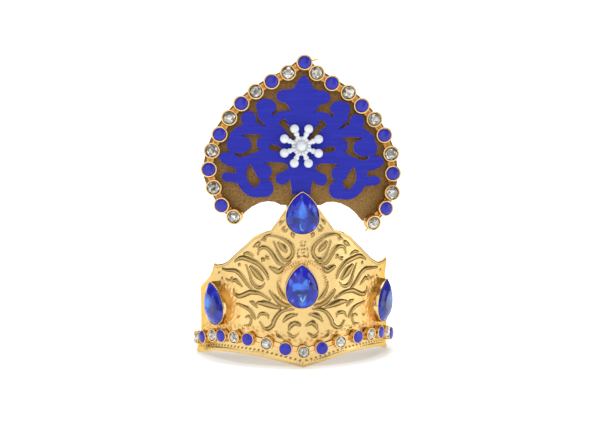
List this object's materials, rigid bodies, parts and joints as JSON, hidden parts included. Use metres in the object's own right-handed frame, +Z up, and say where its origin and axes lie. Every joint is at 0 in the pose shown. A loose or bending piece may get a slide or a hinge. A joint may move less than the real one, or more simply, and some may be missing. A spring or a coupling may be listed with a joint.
{
  "type": "deity crown",
  "caption": "Small idol crown: bent embossed band open at the back, peaked front, leaf-shaped board behind it with a pierced panel, pearl flower, pear stones and cup chains.",
  "frame": {"origin": "middle of the bounding box, on the surface that the crown stands on", "axes": "+Z up, the jewelled front faces -Y, +X to the right as seen from the front"},
  "size_m": [0.0678, 0.0464, 0.0994],
  "materials": {
    "gold_sheet": "polished embossed sheet",
    "chain_gold": "bright plated",
    "board_paint": "board with rough gold paint",
    "blue_paint": "satin blue paint with fine streaks",
    "blue_glass": "faceted, foil backed",
    "blue_dome": "smooth dome",
    "clear_glass": "faceted, foil backed",
    "pearl": "pearly white"
  },
  "bodies": {
    "root": {"crown_band": "gold_sheet", "back_plate": "board_paint", "fretwork": "blue_paint", "pearl_flower": "pearl", "plate_chain": "chain_gold", "band_chain": "chain_gold", "top_setting": "chain_gold", "top_stone": "blue_glass", "centre_setting": "chain_gold", "centre_stone": "blue_glass", "left_setting": "chain_gold", "left_stone": "blue_glass", "right_setting": "chain_gold", "right_stone": "blue_glass", "band_stone_01": "clear_glass", "band_stone_02": "blue_dome", "band_stone_03": "clear_glass", "band_stone_04": "blue_dome", "band_stone_05": "clear_glass", "band_stone_06": "blue_dome", "band_stone_07": "clear_glass", "band_stone_08": "blue_dome", "band_stone_09": "clear_glass", "band_stone_10": "blue_dome", "band_stone_11": "clear_glass", "band_stone_12": "blue_dome", "band_stone_13": "clear_glass", "band_stone_14": "blue_dome", "band_stone_15": "clear_glass", "band_stone_16": "blue_dome", "band_stone_17": "clear_glass", "plate_stone_01": "clear_glass", "plate_stone_02": "blue_dome", "plate_stone_03": "clear_glass", "plate_stone_04": "blue_dome", "plate_stone_05": "clear_glass", "plate_stone_06": "blue_dome", "plate_stone_07": "clear_glass", "plate_stone_08": "blue_dome", "plate_stone_09": "clear_glass", "plate_stone_10": "blue_dome", "plate_stone_11": "clear_glass", "plate_stone_12": "blue_dome", "plate_stone_13": "clear_glass", "plate_stone_14": "blue_dome", "plate_stone_15": "clear_glass", "plate_stone_16": "blue_dome", "plate_stone_17": "clear_glass", "plate_stone_18": "blue_dome", "plate_stone_19": "clear_glass", "plate_stone_20": "blue_dome", "plate_stone_21": "clear_glass", "plate_stone_22": "blue_dome", "plate_stone_23": "clear_glass"}
  },
  "joints": []
}
